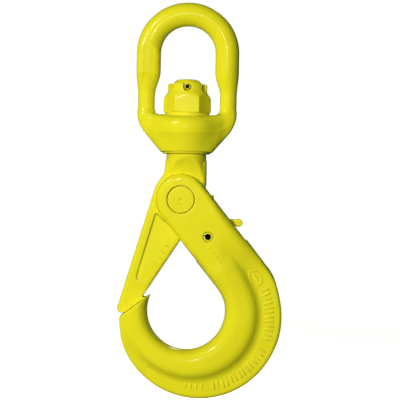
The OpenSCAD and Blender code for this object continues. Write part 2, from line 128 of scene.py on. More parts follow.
def skin(name, field, low, high, h):
    """Surface nets round field < 0 in the given box, in steps of h, pulled on to the surface."""
    before, after, newton_steps, least_slope = 2.37, 3, 2, 0.05
    h *= COARSE
    axes = [np.arange(lo - before * h, hi + after * h, h) for lo, hi in zip(low, high)]
    grid = np.meshgrid(*axes, indexing="ij", sparse=True)
    shape = tuple(len(a) for a in axes)
    f = np.ascontiguousarray(np.broadcast_to(field(*grid), shape)).astype(np.float64)
    inside = f < 0
    cells = tuple(n - 1 for n in shape)
    ids, spots, quads = [], [], []
    for a in range(3):
        b, c = (a + 1) % 3, (a + 2) % 3
        near, far = [slice(None)] * 3, [slice(None)] * 3
        near[a], far[a] = slice(0, -1), slice(1, None)
        at = np.argwhere(inside[tuple(near)] != inside[tuple(far)])
        step = np.zeros(3, int)
        step[a] = 1
        f0, f1 = f[tuple(at.T)], f[tuple((at + step).T)]
        spot = at.astype(float)
        spot[:, a] += f0 / (f0 - f1)
        ring = []
        for db, dc in ((0, 0), (-1, 0), (-1, -1), (0, -1)):
            corner = at.copy()
            corner[:, b] += db
            corner[:, c] += dc
            ring.append(np.ravel_multi_index(tuple(corner.T), cells))
            ids.append(ring[-1])
            spots.append(spot)
        quad = np.stack(ring, axis=1)
        quad[f0 > 0] = quad[f0 > 0][:, ::-1]
        quads.append(quad)
    ids, spots, quads = np.concatenate(ids), np.concatenate(spots), np.concatenate(quads)
    used, index = np.unique(ids, return_inverse=True)
    count = np.bincount(index)
    co = np.stack([np.bincount(index, spots[:, k]) / count for k in range(3)], axis=1)
    co = co * h + np.array([a[0] for a in axes])
    e, furthest = 0.1 * h, 0.6 * h
    for _ in range(newton_steps):
        value = field(*co.T)
        slope = np.stack([(field(*(co + d).T) - field(*(co - d).T)) / (2 * e)
                          for d in np.eye(3) * e], axis=1)
        step = slope * (value / np.maximum((slope ** 2).sum(1), least_slope))[:, None]
        reach = np.linalg.norm(step, axis=1, keepdims=True)
        co -= step * np.minimum(1, furthest / np.maximum(reach, 1e-9))
    return mesh_object(name, co * MM, np.searchsorted(used, quads))


def mesh_object(name, co, quads):
    mesh = bpy.data.meshes.new(name)
    n = quads.shape[1]
    mesh.vertices.add(len(co))
    mesh.vertices.foreach_set("co", np.asarray(co, np.float32).ravel())
    mesh.loops.add(quads.size)
    mesh.loops.foreach_set("vertex_index", quads.astype(np.int32).ravel())
    mesh.polygons.add(len(quads))
    mesh.polygons.foreach_set("loop_start", np.arange(0, quads.size, n, dtype=np.int32))
    mesh.update(calc_edges=True)
    mesh.validate()
    smooth_faces(mesh)
    return linked(name, mesh)


def smooth_faces(mesh):
    mesh.polygons.foreach_set("use_smooth", np.full(len(mesh.polygons), True))
    mesh.update()


def linked(name, data):
    obj = bpy.data.objects.new(name, data)
    bpy.context.scene.collection.objects.link(obj)
    return obj


# ---------------------------------------------------------------- the bow

def pad_field(x, y, z, side, stock):
    """The raised flat on the front of the left leg. Its ends slope back into the stock."""
    peak, left_n, right_n, peak_round = (-27.1, -10.5), (-0.81176, 0.584), (0.707, 0.707), 2.0
    front, tilt, top_slope, low_slope, low_end, edge_r = 8.15, 0.11, 0.45, 0.32, -32.4, 4.0
    above = smax(beyond(x, z, peak, left_n), beyond(x, z, peak, right_n), peak_round)
    half = front - tilt * (x + CROWN_R)
    half = half - top_slope * np.maximum(above, 0) - low_slope * np.maximum(low_end - z, 0)
    return np.maximum(plate(np.abs(side) - stock, y, half, edge_r), np.maximum(x, y))


def bow_field(x, y, z):
    ax, r = np.abs(x), np.hypot(x, y)
    # Round stock that narrows down the legs, with the pad on it
    thick_end, thin_start, pad_edge = -31.0, -46.5, 0.6
    thin = ramp(z, thick_end, thin_start)
    line = CROWN_R + (LEG_X - CROWN_R) * thin
    side = np.where(z > CROWN[1], np.hypot(x, z - CROWN[1]) - CROWN_R, ax - line)
    stock = STOCK_R - (STOCK_R - LEG_R) * thin
    rod = smin(np.hypot(side, y) - stock, pad_field(x, y, z, side, stock), pad_edge)
    # The shoulders, which thicken from the legs towards the middle
    flank, flank_n, corner_r = (FOOT_R - 0.4, BOSS_Z), (0.758, -0.652), 6.0
    half, swell, swell_from, swell_to, edge_r = 6.6, 2.6, 31.0, 20.0, 5.0
    outline = smax(ax - LEG_X - LEG_R, beyond(ax, z, flank, flank_n), corner_r)
    shoulder = plate(outline, y, half + swell * ramp(ax, swell_from, swell_to), edge_r)
    # The round boss: a bulge over a cone
    bulge_in, bulge_z, bulge_r, cone_top, cone_n = 13.8, -69.0, 9.0, -72.0, (0.938, -0.347)
    bulge = np.hypot(np.maximum(r - bulge_in, 0), z - bulge_z) - bulge_r
    cone = np.maximum(beyond(r, z, (FOOT_R, BOSS_Z), cone_n), z - cone_top)
    crease, waist, top_edge, leg_fillet = 1.0, 9.0, 4.0, 5.5
    base = smax(smin(shoulder, smin(bulge, cone, crease), waist), z - BASE_Z, top_edge)
    body = smin(base, rod, leg_fillet)
    # The fillets are kept inside the outline, and the foot and the two bores are cut
    proud, crown_proud, outline_edge, foot_edge = 0.3, 1.6, 1.2, 0.8
    bore_top, bush_gap, race_edge, bush_edge = -45, 0.02, 0.9, 0.6
    body = smax(body, outline - proud - crown_proud * (1 - thin), outline_edge)
    body = smax(body, BOSS_Z - z, foot_edge)
    bore = np.maximum(r - COUNTERBORE_R, np.maximum(RACE_FLOOR - z, z - bore_top))
    body = smax(body, -bore, race_edge)
    return smax(body, -np.maximum(r - BUSH_R - bush_gap, z - bore_top), bush_edge)


# ---------------------------------------------------------------- stem, neck and latch arm

# The latch arm's outer edge and its throat edge: their directions, normals and upper ends
EDGE_A, THROAT_A = 253.5, 237.1
EDGE_IN, THROAT_IN, THROAT_OUT = unit(EDGE_A + 90), unit(THROAT_A - 90), unit(THROAT_A + 90)
NECK_CORNER, THROAT_TOP = (-20.2, -108.0), add(PIN, THROAT_OUT, 15.0)


def latch_outline(x, z):
    edge_length, throat_length, tip_r, seat_in, joint_gap = 85.0, 68.5, 3.2, 3.58, 0.14
    shoulder_z, hub_fillet, tip_fillet = -91.5, 1.0, 0.8
    tip_end = add(NECK_CORNER, unit(EDGE_A), edge_length)
    tip = add(tip_end, EDGE_IN, tip_r)
    seat = add(tip, unit(JOINT_A - 90), seat_in)
    joint_in = add(JOINT, unit(JOINT_A + 90), joint_gap)
    throat_end = add(THROAT_TOP, unit(THROAT_A), throat_length)
    points = [(-NECK_R, shoulder_z), (-14.8, -99.8), (-17.7, -104.0), NECK_CORNER, tip_end, tip,
              seat, joint_in, throat_end, THROAT_TOP, PIN, (13.7, -109.0), (NECK_R, shoulder_z)]
    shape = smin(polygon(x, z, points), disc(x, z, PIN, HUB_R), hub_fillet)
    return smin(shape, disc(x, z, tip, tip_r), tip_fillet)


def panel_outline(x, z):
    """The recess in the latch's face. It runs out at the throat edge and curls over below."""
    top_down, top_in, low_down, low_in, inner_down, corner_r = 19.0, 7.6, 61.5, 8.0, 56.0, 2.2
    top = add(add(NECK_CORNER, unit(EDGE_A), top_down), EDGE_IN, top_in)
    low = add(add(NECK_CORNER, unit(EDGE_A), low_down), EDGE_IN, low_in)
    inner = add(THROAT_TOP, unit(THROAT_A), inner_down)
    points = [top, low, add(low, (2.6, -0.6)), inner, add(PIN, (16.0, -12.0)),
              add(PIN, (-8.0, -12.0))]
    return polygon(x, z, points) - corner_r


def panel_depth(x, z):
    """Depth of the recess. It fades towards the throat edge, and at its low end on that side."""
    deepest, low_fade = 1.15, 0.92
    throat_from, throat_to, low_from, low_to, side_from, side_to = -1.0, 20.0, 44.0, 61.0, 6.5, 11.0
    depth = deepest * ramp(beyond(x, z, THROAT_TOP, THROAT_IN), throat_from, throat_to)
    down, across = beyond(x, z, NECK_CORNER, unit(EDGE_A)), beyond(x, z, NECK_CORNER, EDGE_IN)
    return depth * (1 - low_fade * ramp(down, low_from, low_to) * ramp(across, side_from, side_to))


def latch_field(x, y, z):
    r, ay = np.hypot(x, y), np.abs(y)
    # The stem, with a chamfer and a centre dimple
    chamfer, stem_edge, sunk = 2.8, 0.8, 2
    dimple_r, dimple_slope, dimple_scale, dimple_edge = 1.6, 0.9, 0.74, 0.5
    stem = smax(r - STEM_R, (r - STEM_R + z - STEM_TOP + chamfer) * DIAGONAL, stem_edge)
    stem = np.maximum(smax(stem, z - STEM_TOP, stem_edge), NECK_TOP - sunk - z)
    dimple = (r + (z - STEM_TOP) * dimple_slope - dimple_r) * dimple_scale
    stem = smax(stem, -dimple, dimple_edge)
    # The round neck, whose front and back slope in to the hub
    facet_z, facet_n, facet_round, facet_edge = -88.7, (0.838, -0.545), 5.0, 0.9
    neck_edge, neck_low = 1.4, -106.0
    facet = smin(beyond(ay, z, (NECK_R, facet_z), facet_n), ay - HUB_HALF, facet_round)
    neck = smax(smax(r - NECK_R, facet, facet_edge), z - NECK_TOP, neck_edge)
    neck = np.maximum(neck, neck_low - z)
    # Hub and arm in one plate, sharper-edged at the joint, with the panel sunk outside the hub
    edge_r, sharper, sharp_from, sharp_to = 2.6, 2.0, 6.0, 1.0
    panel_r, panel_round, panel_foot, panel_edge = 17.8, 2.0, 0.7, 0.4
    seat = ramp(beyond(x, z, JOINT, unit(JOINT_A + 90)), sharp_from, sharp_to)
    arm = plate(latch_outline(x, z), y, HUB_HALF, edge_r - sharper * seat)
    panel = smax(panel_outline(x, z), -disc(x, z, PIN, panel_r), panel_round)
    arm = smax(arm, -smax(panel, HUB_HALF - panel_depth(x, z) - ay, panel_foot), panel_edge)
    # Together, less the load pin's bore, the pawl's notch and the nut pin's hole
    neck_fillet, stem_fillet, bore_gap, bore_edge = 1.6, 1.0, 0.05, 0.6
    notch_in, notch_up, notch_half, notch_edge, hole_r, hole_edge = 14.3, 2.2, 4.2, 0.5, 2.27, 0.3
    body = smin(smin(neck, arm, neck_fillet), stem, stem_fillet)
    body = smax(body, -disc(x, z, PIN, PIN_R + bore_gap), bore_edge)
    notch = np.maximum(PIN[0] + notch_in - x, np.abs(z - PIN[1] - notch_up) - notch_half)
    body = smax(body, -notch, notch_edge)
    return smax(body, -disc(x, z, NUT_PIN, hole_r), hole_edge)


# ---------------------------------------------------------------- the hook body

def hook_edges(x, z):
    """Distances past the outer edge, the inner edge, the bar's inner edge and the joint line."""
    tip_in, tip_low, tip_high = 1.4, -222.0, -200.0
    dent, dent_at, dent_r = 0.9, (60.0, -170.0), 6.0
    out, out_t = unit(OUTER_A), unit(OUTER_A - 90)
    inn, inn_t = unit(INNER_A), unit(INNER_A - 90)
    eye = disc(x, z, PIN, BAR_R)
    line = beyond(x, z, PIN, out) - BAR_R
    back = disc(x, z, BACK, BACK_R) + tip_in * ramp(z, tip_low, tip_high) * (x < BOWL[0])
    away = (x - dent_at[0]) ** 2 + (z - dent_at[1]) ** 2
    back = back - dent * np.exp(-away / (2 * dent_r ** 2))
    outer = np.where(beyond(x, z, BACK, out_t) > 0, back, line)
    outer = np.where(beyond(x, z, BACK, out) < 0, back, outer)
    outer = np.where((beyond(x, z, PIN, out_t) < 0) & (beyond(x, z, BACK, out) > 0), eye, outer)
    bar = -beyond(x, z, PIN, inn) - BAR_R
    saddle = -disc(x, z, BOWL, SADDLE_R)
    straight = (beyond(x, z, BOWL, inn_t) < 0) & (beyond(x, z, BOWL, inn) > 0)
    inner = np.where(straight, bar, saddle)
    inner = np.where(straight & (beyond(x, z, PIN, inn_t) < 0), eye, inner)
    return outer, inner, bar, beyond(x, z, JOINT, unit(JOINT_A + 90))


def ridge_field(x, y, z, inner, along):
    """The rounded ridge round the bowl, between the saddle and the bead's outer edge."""
    roll_round, least_half, power_across, power_y, root, scale = 7.0, 5.0, 3.0, 2.2, 0.4, 9.5
    rise, rise_from, rise_to, drop, drop_from, drop_to = 1.2, 84.0, 62.0, 5.0, 56.0, 40.0
    a = -inner
    b = smax(-disc(x, z, BEAD, BEAD_R), ROLL - a, roll_round)
    middle, half = (a - b) / 2, np.maximum((a + b) / 2, least_half)
    change = rise * ramp(along, rise_from, rise_to) - drop * ramp(along, drop_from, drop_to)
    height = RIDGE_HALF + change * (beyond(x, z, BOWL, unit(INNER_A)) > 0)
    section = np.abs(middle / half) ** power_across + np.abs(y / height) ** power_y
    return (section ** root - 1) * scale


def flange_field(x, y, z, flat, inner):
    """The flat flange outside the ridge. It thickens towards the tip."""
    inset, inset_round, edge_r, sharper, swell = 5.0, 3.0, 2.6, 0.6, 4.6
    swell_from, swell_to, first, last = 246.0, 190.0, 120, 260
    around = np.degrees(np.arctan2(z - BOWL[1], x - BOWL[0])) % 360
    tip = ramp(around, swell_from, swell_to) * (around < last) * (around > first)
    shape = smax(flat, inset + inner, inset_round)
    return plate(shape, y, FLANGE_HALF + swell * tip, edge_r - sharper * tip)


def cheek_field(y, flat, bar, along, across):
    """The cheeks. They slope down to the flange outside and run into the ridge at the throat."""
    flat_round, edge_r, outer_r, outer_far_r, throat_r = 1.0, 3.6, 0.8, 4.6, 2.2
    end, throat_end, end_half, end_n, end_round = 56.5, 15.0, 10.2, (0.45, 0.893), 7.0
    rounding = edge_r + (outer_far_r * ramp(along, 20.0, 70.0) + outer_r) * ramp(across, 8.0, -6.0)
    rounding = rounding + throat_r * ramp(along, 5.0, 35.0) * ramp(across, 2.0, 10.0)
    cheek = plate(smax(flat, bar, flat_round), y, CHEEK_HALF, rounding)
    end = end + throat_end * ramp(across, 5.0, -9.0)
    return smax(cheek, beyond(along, np.abs(y), (end, end_half), end_n), end_round)


def hook_field(x, y, z):
    outline_round, ridge_fillet, cheek_fillet, fillet_from, fillet_to = 1.0, 2.8, 3.0, -3.0, 3.0
    outer, inner, bar, joint = hook_edges(x, z)
    along, across = beyond(x, z, PIN, unit(BAR_A)), beyond(x, z, PIN, unit(BAR_A + 90))
    flat = smax(outer, inner, outline_round)
    ridge = ridge_field(x, y, z, inner, along)
    body = smin(flange_field(x, y, z, flat, inner), ridge, ridge_fillet)
    fillet = cheek_fillet + cheek_fillet * ramp(across, fillet_from, fillet_to)
    body = smin(body, cheek_field(y, flat, bar, along, across), fillet)
    # The joint with the latch, the slot for the pawl and the two pins' bores
    joint_edge, pin_fit, pin_edge, pivot_gap, pivot_edge = 0.5, 0.08, 0.35, 0.25, 0.5
    slot_in, slot_low, slot_out, slot_edge = 23.0, -13.25, 48.0, 1.0
    body = smax(body, np.minimum(joint, bar), joint_edge)
    slot = np.minimum(np.maximum(along - slot_out, slot_low - across), along - slot_in)
    body = smax(body, -np.maximum(slot, np.abs(y) - SLOT_HALF), slot_edge)
    body = smax(body, -disc(x, z, PIN, PIN_R - pin_fit), pin_edge)
    return smax(body, -disc(x, z, PIVOT, PIVOT_R + pivot_gap), pivot_edge)


# ---------------------------------------------------------------- nut, trigger and rolled pins

def nut_field(x, y, z):
    r = np.hypot(x, y)
    # The hexagon, with flats to the front and back, a rounded-off crown and a washer foot
    flat_half, corner_r, hex_x, hex_y = 14.0, 0.5, 0.8660254, 0.5
    crown_r, crown_n, crown_edge, top_edge = 13.6, (0.798, 0.603), 1.2, 0.6
    foot_r, foot_n, foot_edge, bottom_edge = 15.6, (0.5, -0.866), 0.8, 0.5
    hexagon = smax(np.abs(y), np.abs(hex_x * x + hex_y * y), corner_r)
    hexagon = smax(hexagon, np.abs(hex_x * x - hex_y * y), corner_r) - flat_half
    body = smax(hexagon, beyond(r, z, (crown_r, HEX_TOP), crown_n), crown_edge)
    body = smax(body, z - HEX_TOP, top_edge)
    body = smax(body, beyond(r, z, (foot_r, NUT_BOTTOM), foot_n), foot_edge)
    body = smax(body, NUT_BOTTOM - z, bottom_edge)
    # The castle, its three slots and the bore
    castle_r, castle_low, rim, castle_fillet = 13.3, -47.0, 0.7, 0.9
    chamfer_r, chamfer_edge = 12.9, 0.9
    bore_gap, bore_edge, slot_z, slot_half, slot_edge = 0.02, 0.4, -41.95, 2.65, 0.7
    castle = smax(r - castle_r, z - CASTLE_TOP, rim)
    castle = smax(castle, (r - chamfer_r + z - CASTLE_TOP) * DIAGONAL, chamfer_edge)
    body = smin(body, np.maximum(castle, castle_low - z), castle_fillet)
    body = smax(body, STEM_R + bore_gap - r, bore_edge)
    for angle in (90, 150, 210):
        c, s = unit(angle)
        off, low = np.abs(-s * x + c * y), z - slot_z
        slot = np.where(low > 0, off, np.hypot(off, low)) - slot_half
        body = smax(body, -slot, slot_edge)
    return body


def trigger_field(x, y, z):
    boss_r, under_r, lug_half, lug_r, edge_r = 6.6, 5.6, 2.45, 2.5, 1.1
    boss_fillet, lug_fillet, bore_gap, bore_edge = 1.2, 1.0, 0.07, 0.4
    nose, lug = add(PIN, (14.84, 3.3)), add(PIVOT, (20.7, 9.6))
    points = [nose, add(nose, (7.2, 0)), add(nose, (7.4, -5)), add(PIVOT, (6, 16)),
              add(PIVOT, (10, 12)), add(lug, (0, lug_half)), add(lug, (0, -lug_half)),
              add(PIVOT, (12, 7.2)), add(PIVOT, unit(-60), under_r), add(PIVOT, unit(240), under_r),
              add(PIVOT, (-3.5, 10)), add(nose, (2.8, -6.2)), add(nose, (0, -2.6))]
    flat = smin(polygon(x, z, points), disc(x, z, PIVOT, boss_r), boss_fillet)
    flat = smin(flat, disc(x, z, lug, lug_r), lug_fillet)
    body = plate(flat, y, TRIGGER_HALF, edge_r)
    return smax(body, -disc(x, z, PIVOT, PIVOT_R + bore_gap), bore_edge)


def rolled_pin_field(centre, outer_r, half, wall, slit, slit_a):
    """A rolled pin along Y, slit towards slit_a and closed halfway along by a thin web. The web,
    made dark by dark_inside, stands where the open bore has only shade: painted shade.
    """
    end_r, slit_edge, web_half = 0.3, 0.25, 1.0
    mid, (c, s) = outer_r - wall / 2, unit(slit_a)

    def field(x, y, z):
        u, v = x - centre[0], z - centre[1]
        tube = plate(np.abs(np.hypot(u, v) - mid) - wall / 2, y, half, end_r)
        gap = np.maximum(np.abs(-s * u + c * v) - slit / 2, -(c * u + s * v))
        # A dark sheet across the bore in place of its shade: painted shade
        web = np.maximum(np.hypot(u, v) - mid, np.abs(y) - web_half)
        return np.minimum(smax(tube, -gap, slit_edge), web)
    return field


# ---------------------------------------------------------------- turned and bent parts

def strip_quads(rows, n, closed):
    """Quads between rows of n points that run round. Closed joins the last row to the first."""
    return np.array([[i * n + k, i * n + (k + 1) % n, (i + 1) % rows * n + (k + 1) % n,
                      (i + 1) % rows * n + k]
                     for i in range(rows if closed else rows - 1) for k in range(n)])


def lathe(name, corners, centre=(0.0, 0.0), across=False):
    """Turns a closed profile of (radius, height) corners round Z, or round a line along Y."""
    profile, n = softened(corners), 128
    turn = np.arange(n) * 2 * math.pi / n
    co = []
    for r, h in profile:
        u, v, w = r * np.cos(turn), r * np.sin(turn), np.full(n, h)
        co.append(np.stack([centre[0] + u, -w, centre[1] + v] if across else [u, v, w], axis=1))
    return weld(mesh_object(name, np.concatenate(co) * MM, strip_quads(len(profile), n, True)))


def weld(obj):
    """Joins points that fall together on the axis and turns the faces outward."""
    bm = bmesh.new()
    bm.from_mesh(obj.data)
    bmesh.ops.remove_doubles(bm, verts=bm.verts, dist=1e-6)
    bmesh.ops.dissolve_degenerate(bm, edges=bm.edges, dist=1e-7)
    bmesh.ops.recalc_face_normals(bm, faces=bm.faces)
    bm.to_mesh(obj.data)
    bm.free()
    smooth_faces(obj.data)
    return obj


def softened(corners):
    """A closed profile with each corner rounded to the radius that is its third value."""
    steps, longest_share = 3, 0.45
    points, count = [], len(corners)
    for i in range(count):
        a, b, c = (np.array(corners[(i + k) % count][:2], float) for k in (-1, 0, 1))
        r = corners[i][2]
        u, v = a - b, c - b
        lu, lv = np.linalg.norm(u), np.linalg.norm(v)
        if r <= 0 or lu < 1e-6 or lv < 1e-6:
            points.append(tuple(b))
            continue
        cut = min(r, longest_share * lu, longest_share * lv)
        p, q = b + u / lu * cut, b + v / lv * cut
        for k in range(steps + 1):
            t = k / steps
            points.append(tuple((1 - t) ** 2 * p + 2 * t * (1 - t) * b + t * t * q))
    return points


def wire(name, path, r):
    """A round wire along a path, with its two ends rounded over."""
    sides, end_length, end_share = 14, 0.5, 0.75
    ahead = np.gradient(path, axis=0)
    ahead /= np.linalg.norm(ahead, axis=1, keepdims=True)
    out = np.cross(ahead, [0.0, 1.0, 0.0])
    out /= np.linalg.norm(out, axis=1, keepdims=True)
    up = np.cross(out, ahead)
    turn = np.arange(sides) * 2 * math.pi / sides
    rings = [p + r * (np.outer(np.cos(turn), o) + np.outer(np.sin(turn), u))
             for p, o, u in zip(path, out, up)]
    first, last = path[0] - ahead[0] * r * end_length, path[-1] + ahead[-1] * r * end_length
    start = [np.tile(first, (sides, 1)), first + (rings[0] - path[0]) * end_share]
    end = [last + (rings[-1] - path[-1]) * end_share, np.tile(last, (sides, 1))]
    rings = start + rings + end
    quads = strip_quads(len(rings), sides, False)
    return weld(mesh_object(name, np.concatenate(rings) * MM, quads))


# ---------------------------------------------------------------- raised marks

# A stroke's section, as shares of its width and its height
SECTION = ((-0.62, -0.9), (-0.5, 0.2), (-0.28, 0.8), (0.0, 1.0), (0.28, 0.8), (0.5, 0.2),
           (0.62, -0.9))


def surface_y(field, points, side):
    """Depth of the surface of a field under points in XZ, seen from one side."""
    deepest, halvings = 16.0, 22
    x, z = np.array(points, float).T
    low, high = np.zeros(len(x)), np.full(len(x), side * deepest)
    for _ in range(halvings):
        y = (low + high) / 2
        inside = field(x, y, z) < 0
        low, high = np.where(inside, y, low), np.where(inside, high, y)
    return low


def raised_marks(name, field, strokes):
    """Plain raised strokes that follow a field's surface: (points in XZ, width, height, side)."""
    # Each end of an open stroke tapers: (distance past it in widths, share of the section)
    (near, near_scale), (far, far_scale) = (0.3, 0.8), (0.5, 0.3)
    bm = bmesh.new()
    for points, width, height, side in strokes:
        line = np.array(points, float)
        depths = surface_y(field, points, side)
        closed = len(line) > 2
        if closed:
            ahead = np.roll(line, -1, 0) - np.roll(line, 1, 0)
        else:
            ahead = np.repeat([line[1] - line[0]], 2, 0)
        ahead /= np.linalg.norm(ahead, axis=1, keepdims=True)
        stations = [(p, t, 1.0, y) for p, t, y in zip(line, ahead, depths)]
        if not closed:
            (p, t, _, y), (q, u, _, v) = stations
            stations = [(p - t * width * far, t, far_scale, y),
                        (p - t * width * near, t, near_scale, y), (p, t, 1.0, y),
                        (q, u, 1.0, v), (q + u * width * near, u, near_scale, v),
                        (q + u * width * far, u, far_scale, v)]
        rings = []
        for p, t, scale, y in stations:
            ring = []
            for w, rise in SECTION:
                lift = rise * height * (scale if rise > 0 else 1)
                ring.append(bm.verts.new(((p[0] - t[1] * w * width * scale) * MM,
                                          (y + side * lift) * MM,
                                          (p[1] + t[0] * w * width * scale) * MM)))
            rings.append(ring)
        n = len(SECTION)
        pairs = zip(rings, rings[1:] + rings[:1]) if closed else zip(rings, rings[1:])
        for one, two in pairs:
            for k in range(n):
                bm.faces.new([one[k], one[(k + 1) % n], two[(k + 1) % n], two[k]])
        if not closed:
            bm.faces.new(rings[0])
            bm.faces.new(rings[-1][::-1])
    bmesh.ops.recalc_face_normals(bm, faces=bm.faces)
    mesh = bpy.data.meshes.new(name)
    bm.to_mesh(mesh)
    bm.free()
    smooth_faces(mesh)
    return linked(name, mesh)


def bar_stroke(centre, length, turn):
    return [add(centre, unit(turn), -length / 2), add(centre, unit(turn), length / 2)]


def oval_stroke(centre, length, width, turn):
    (c, s), points, count = unit(turn), [], 28
    for k in range(count):
        u, v = unit(360 * k / count)
        u, v = u * length / 2, v * width / 2
        points.append((centre[0] + c * u - s * v, centre[1] + s * u + c * v))
    return points


# ---------------------------------------------------------------- materials

class Nodes:
    """A short way to write a material's nodes."""

    def __init__(self, name):
        self.mat = bpy.data.materials.new(name)
        self.mat.use_nodes = True
        self.tree = self.mat.node_tree
        self.shader = self.tree.nodes["Principled BSDF"]
        self.where = self.tree.nodes.new("ShaderNodeTexCoord").outputs["Object"]

    def new(self, kind, links=(), **values):
        node = self.tree.nodes.new(kind)
        for key, value in values.items():
            setattr(node, key, value)
        for socket, source in dict(links).items():
            self.put(node.inputs[socket], source)
        return node

    def put(self, socket, source):
        """Links a socket to another one, or gives it a value. Three values are a colour."""
        if isinstance(source, bpy.types.NodeSocket):
            self.tree.links.new(source, socket)
        elif isinstance(source, tuple) and len(source) == 3:
            socket.default_value = (*source, 1)
        else:
            socket.default_value = source

    def noise(self, scale, detail=3.0, roughness=0.5):
        links = {"Vector": self.where, "Scale": scale, "Detail": detail, "Roughness": roughness}
        return self.new("ShaderNodeTexNoise", links).outputs["Fac"]

    def ramp(self, fac, *stops):
        """Maps fac to a value, straight between two stops of (place, value)."""
        node = self.new("ShaderNodeValToRGB", {"Fac": fac})
        for stop, (at, value) in zip(node.color_ramp.elements, stops):
            stop.position = at
            stop.color = (value, value, value, 1)
        return node.outputs["Color"]

    def mix(self, fac, a, b):
        node = self.new("ShaderNodeMix", data_type="RGBA")
        for i, source in ((0, fac), (6, a), (7, b)):
            self.put(node.inputs[i], source)
        return node.outputs[2]

    def bump(self, height, distance, strength, normal=None):
        links = {"Height": height, "Distance": distance, "Strength": strength}
        if normal:
            links["Normal"] = normal
        return self.new("ShaderNodeBump", links).outputs["Normal"]

    def finish(self, **sockets):
        for name, source in sockets.items():
            self.put(self.shader.inputs[name.replace("_", " ")], source)
        return self.mat


YELLOW, CLOUD_SHADE = (0.84, 0.785, 0.015), 0.86
# The crease tint is painted shade and the edge tint is a painted highlight
FLECK_TINT, CREASE_SHADE_TINT, EDGE_HIGHLIGHT_TINT = (0.95, 0.90, 0.25), (0.36, 0.40, 0.008), (0.90, 0.85, 0.06)
PEEL_M = 0.00007


def paint_material(name, deep, forge_m=0.00022):
    """Yellow paint that drifts to a deeper tone, over a surface forge_m uneven, in metres, with
    painted shade in its creases and a painted highlight on its edges.
    """
    m = Nodes(name)
    drift, cloud = m.noise(scale=22.0, detail=2.0), m.noise(scale=140.0, detail=4.0, roughness=0.6)
    fleck = m.noise(scale=1500.0, detail=2.0)
    cloudy = tuple(c * CLOUD_SHADE for c in YELLOW)
    tone = m.mix(m.ramp(drift, (0.30, 0.0), (0.75, 1.0)), YELLOW, deep)
    tone = m.mix(m.ramp(cloud, (0.35, 0.0), (0.8, 0.35)), tone, cloudy)
    tone = m.mix(m.ramp(fleck, (0.60, 0.0), (0.74, 0.10)), tone, FLECK_TINT)
    # Creases get a darker, greener tone, which is painted shade, and edges a lighter one, which is
    # a painted highlight
    convex = m.new("ShaderNodeNewGeometry").outputs["Pointiness"]
    tone = m.mix(m.ramp(convex, (0.462, 0.75), (0.494, 0.0)), tone, CREASE_SHADE_TINT)
    tone = m.mix(m.ramp(convex, (0.515, 0.0), (0.56, 0.35)), tone, EDGE_HIGHLIGHT_TINT)
    # The forging's own unevenness, then pits, then the paint's orange peel
    relief = m.noise(scale=95.0, detail=2.0, roughness=0.45)
    pits = m.noise(scale=330.0, roughness=0.55)
    peel = m.noise(scale=750.0, detail=1.5, roughness=0.4)
    normal = m.bump(relief, distance=forge_m * 1.6, strength=0.7)
    normal = m.bump(pits, distance=forge_m * 0.45, strength=0.55, normal=normal)
    normal = m.bump(peel, distance=PEEL_M, strength=0.6, normal=normal)
    matt = m.ramp(m.noise(scale=60.0), (0.3, 0.26), (0.75, 0.36))
    return m.finish(Base_Color=tone, Roughness=matt, Normal=normal, Coat_Weight=0.40,
                    Coat_Roughness=0.08, Coat_Normal=normal, Specular_IOR_Level=0.35)


def metal_material(name, base, worn, rough, metallic=1.0):
    """Bare metal, stained towards its worn colour, with a fine grain."""
    scale, grain_m, smoothest, roughest = 260.0, 0.00003, 0.8, 1.35
    m = Nodes(name)
    stain = m.noise(scale=scale * 0.3, detail=4.0, roughness=0.6)
    grain = m.noise(scale=scale * 6, detail=2.0)
    tone = m.mix(m.ramp(stain, (0.35, 0.0), (0.75, 1.0)), base, worn)
    matt = m.ramp(m.noise(scale=scale), (0.3, rough * smoothest), (0.75, rough * roughest))
    return m.finish(Base_Color=tone, Roughness=matt, Metallic=metallic,
                    Normal=m.bump(grain, distance=grain_m, strength=0.5))


paint = paint_material("yellow_paint", (0.78, 0.745, 0.011))
nut_paint = paint_material("nut_paint", (0.78, 0.72, 0.012), forge_m=0.0001)
pin_paint = paint_material("pin_paint", (0.77, 0.715, 0.010), forge_m=0.00008)
ground_steel = metal_material("ground_steel", (0.56, 0.57, 0.58), (0.44, 0.44, 0.45), 0.22)
# Bare steel for the pin bores, darkened to a near-black green as painted shade
bore_shade_steel = metal_material("steel_and_bore_shade", (0.055, 0.085, 0.015), (0.10, 0.14, 0.02), 0.45,
                            metallic=0.3)
spring_steel = metal_material("spring_steel", (0.50, 0.50, 0.50), (0.33, 0.33, 0.34), 0.28)
brass = metal_material("cage_brass", (0.68, 0.50, 0.20), (0.52, 0.36, 0.13), 0.32)
bronze = metal_material("bush_bronze", (0.52, 0.33, 0.16), (0.40, 0.24, 0.11), 0.38)


def place(obj, body, slot, material, *nodes):
    """Gives a piece its material and its body, and hides the CAD nodes that it stands for. Its
    finish, slot, is not used.
    """
    obj.data.materials.clear()
    obj.data.materials.append(material)
    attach(obj, body)
    if nodes:
        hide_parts(*nodes)
    return obj


def dark_inside(obj, centre, r):
    """Leaves the faces nearer than r to a pin's own line unpainted, in a near-black steel that is
    painted shade for the bore.
    """
    obj.data.materials.append(bore_shade_steel)
    for p in obj.data.polygons:
        if math.hypot(p.center.x / MM - centre[0], p.center.z / MM - centre[1]) < r:
            p.material_index = 1


# ---------------------------------------------------------------- painted forgings and pins

